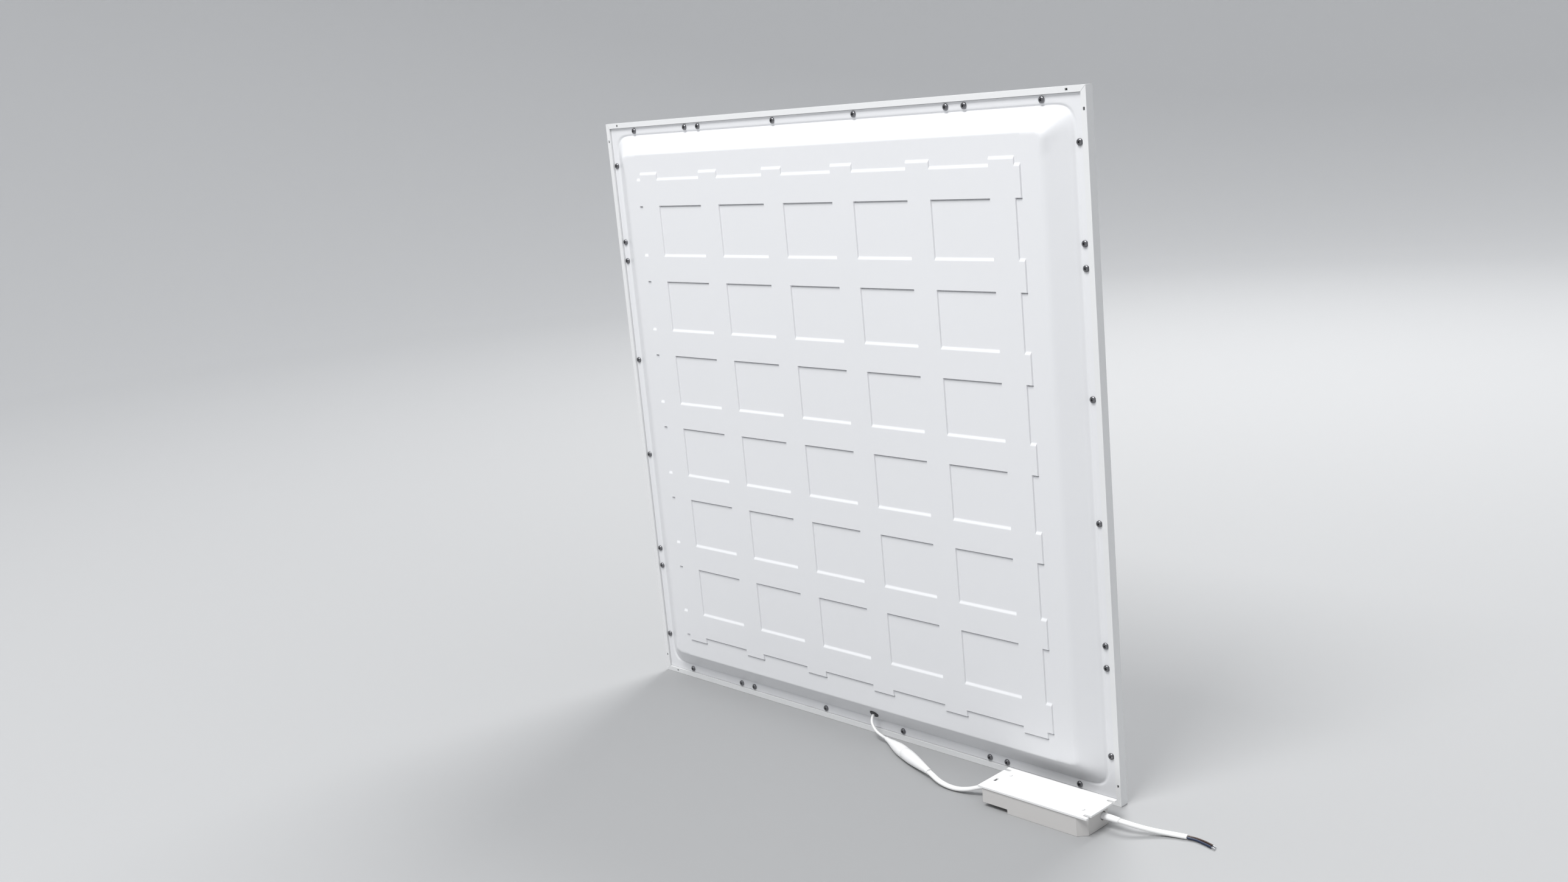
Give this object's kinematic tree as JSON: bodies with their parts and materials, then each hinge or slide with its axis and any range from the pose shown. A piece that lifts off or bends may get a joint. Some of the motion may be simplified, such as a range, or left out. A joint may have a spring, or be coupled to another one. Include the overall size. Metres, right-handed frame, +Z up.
{
  "type": "led panel light",
  "caption": "Square back-lit ceiling light panel with a white frame, opal diffuser and pressed back pan, and a separate driver on a plug-in lead.",
  "frame": {"origin": "middle of the panel's bottom edge, on the surface that it stands on", "axes": "+Z up, the diffuser faces -Y and the back pan +Y, +X to the right as seen from the front"},
  "size_m": [0.6964, 0.074, 0.5959],
  "materials": {
    "frame_paint": "satin warm white powder coat on aluminium",
    "pan_paint": "semi-gloss white powder coat on pressed steel",
    "diffuser": "opal, very fine satin",
    "screw_steel": "plain",
    "zinc": "plain",
    "led_board": "white",
    "grommet_rubber": "matte",
    "cable_sheath": "smooth soft sheath",
    "white_plastic": "satin moulded",
    "grey_plastic": "satin moulded",
    "tinned": "bright",
    "circuit_board": "satin",
    "tape_yellow": "matte",
    "dark_plastic": "matte",
    "core_brown": "smooth",
    "core_blue": "smooth"
  },
  "bodies": {
    "panel": {"frame_bottom": "frame_paint", "frame_left": "frame_paint", "frame_top": "frame_paint", "frame_right": "frame_paint", "corner_key_1": "zinc", "corner_key_2": "zinc", "corner_key_3": "zinc", "corner_key_4": "zinc", "diffuser": "diffuser", "back_pan": "pan_paint", "pan_screw_bottom_1": "screw_steel", "pan_screw_bottom_2": "screw_steel", "pan_screw_bottom_3": "screw_steel", "pan_screw_bottom_4": "screw_steel", "pan_screw_left_1": "screw_steel", "pan_screw_left_2": "screw_steel", "pan_screw_left_3": "screw_steel", "pan_screw_left_4": "screw_steel", "pan_screw_top_1": "screw_steel", "pan_screw_top_2": "screw_steel", "pan_screw_top_3": "screw_steel", "pan_screw_top_4": "screw_steel", "pan_screw_right_1": "screw_steel", "pan_screw_right_2": "screw_steel", "pan_screw_right_3": "screw_steel", "pan_screw_right_4": "screw_steel", "lead_grommet": "grommet_rubber", "led_bar_1": "led_board", "led_bar_2": "led_board", "led_bar_3": "led_board", "led_bar_4": "led_board", "led_bar_5": "led_board", "led_bar_6": "led_board", "led_bar_7": "led_board", "link_wire_positive": "core_brown", "link_wire_negative": "core_blue", "panel_lead": "cable_sheath", "socket_half": "white_plastic", "socket_pin": "tinned"},
    "driver_unit": {"plug_half": "white_plastic", "plug_barrel": "tinned", "driver_lead": "cable_sheath", "driver_base": "grey_plastic", "driver_cover": "white_plastic", "cover_screw_1": "white_plastic", "cover_screw_2": "white_plastic", "driver_board": "circuit_board", "transformer": "tape_yellow", "input_capacitor": "dark_plastic", "output_capacitor": "dark_plastic", "input_choke": "core_brown", "power_transistor": "dark_plastic", "heat_plate": "zinc", "input_terminals": "led_board", "output_cord_clamp": "led_board", "mains_strain_relief": "cable_sheath", "mains_lead": "cable_sheath", "mains_core_live": "core_brown", "mains_core_neutral": "core_blue"}
  },
  "joints": [
    {"name": "connector_pull", "type": "slide", "parent": "panel", "child": "driver_unit", "axis": [-0.9272, 0.3746, 0], "range_m": [0, 0.02]}
  ]
}
